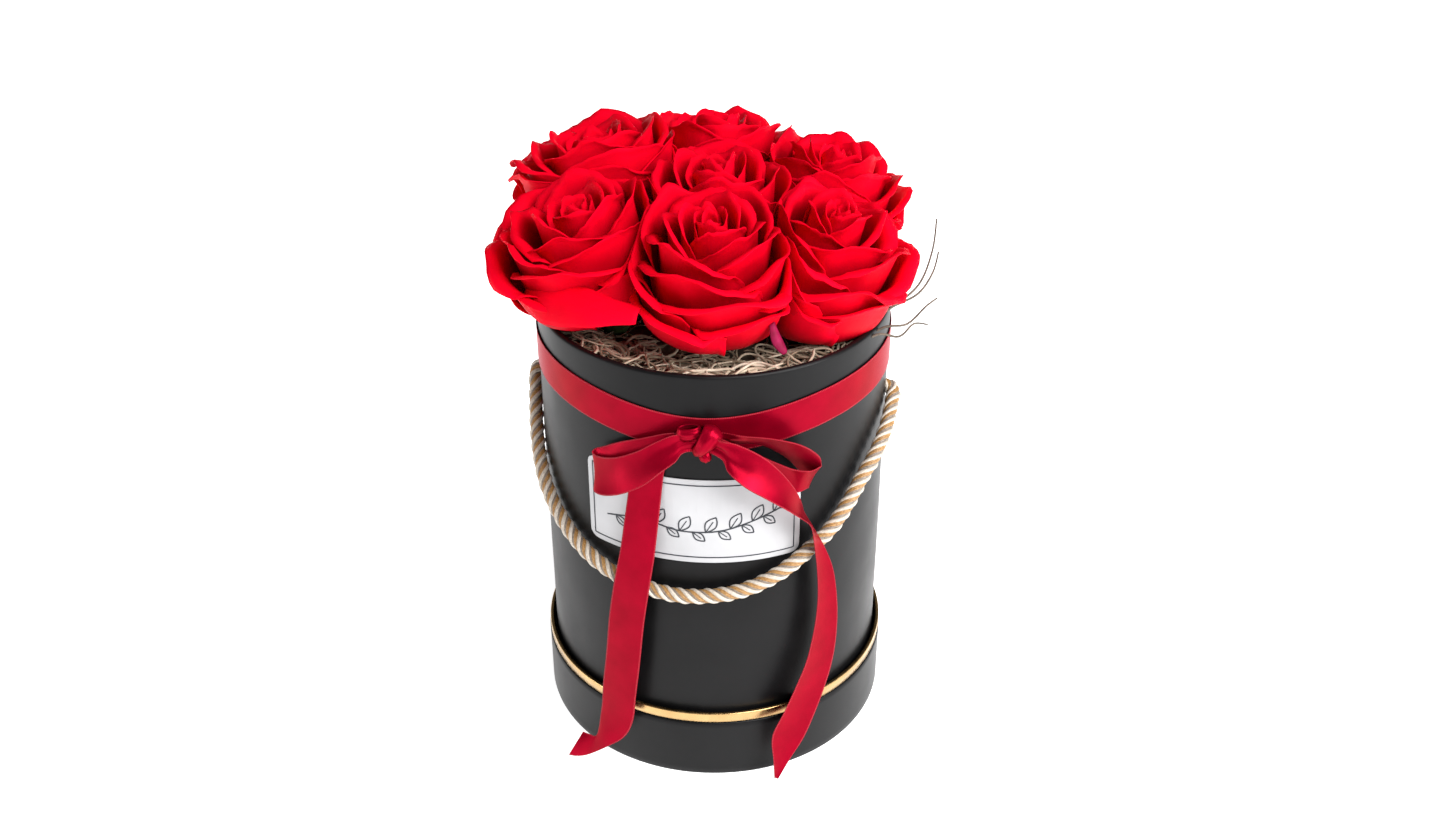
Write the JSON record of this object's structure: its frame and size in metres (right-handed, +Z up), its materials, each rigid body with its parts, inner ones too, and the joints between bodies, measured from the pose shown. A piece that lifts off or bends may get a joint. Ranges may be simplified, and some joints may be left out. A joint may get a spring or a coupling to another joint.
{
  "type": "flower box",
  "caption": "Round black hat box standing in its upturned lid, filled with red roses on moss, with a satin ribbon bow, a blank label and a twisted rope handle",
  "frame": {"origin": "Centre of the underside of the upturned lid, which is the face the whole object stands on", "axes": "+Z up, +X to the viewer's right, the label and the bow face -Y"},
  "size_m": [0.167, 0.174, 0.264],
  "materials": {
    "black_paper": "satin",
    "gold_foil": "gloss",
    "label_paper": "satin",
    "foam": "matte",
    "moss": "matte",
    "petal": "matte",
    "leaf": "matte",
    "satin": "satin",
    "cord": "satin"
  },
  "bodies": {
    "lid": {"lid_board": "black_paper", "lid_wall": "black_paper", "lid_gold_rim": "gold_foil"},
    "box": {"box_tube": "black_paper", "box_floor": "black_paper", "label": "label_paper", "floral_foam": "foam", "moss_bed": "moss", "rose_centre_head": "petal", "rose_centre_calyx": "leaf", "rose_centre_stem": "leaf", "rose_front_head": "petal", "rose_front_calyx": "leaf", "rose_front_stem": "leaf", "rose_front_right_head": "petal", "rose_front_right_calyx": "leaf", "rose_front_right_stem": "leaf", "rose_back_right_head": "petal", "rose_back_right_calyx": "leaf", "rose_back_right_stem": "leaf", "rose_back_head": "petal", "rose_back_calyx": "leaf", "rose_back_stem": "leaf", "rose_back_left_head": "petal", "rose_back_left_calyx": "leaf", "rose_back_left_stem": "leaf", "rose_front_left_head": "petal", "rose_front_left_calyx": "leaf", "rose_front_left_stem": "leaf", "ribbon_band": "satin", "bow_knot": "satin", "bow_loop_left": "satin", "bow_loop_right": "satin", "ribbon_tail_left": "satin", "ribbon_tail_right": "satin"},
    "handle": {"handle_rope": "cord", "handle_knot_left": "cord", "handle_knot_right": "cord"}
  },
  "joints": [
    {"name": "box_lift", "type": "slide", "parent": "lid", "child": "box", "axis": [0, 0, 1], "range_m": [0, 0.06]},
    {"name": "handle_swing", "type": "hinge", "parent": "box", "child": "handle", "pos_m": [0, 0, 0.163], "axis": [-1, 0, 0], "range_deg": [0, 50], "deforming": ["ribbon_tail_left", "ribbon_tail_right"]}
  ]
}
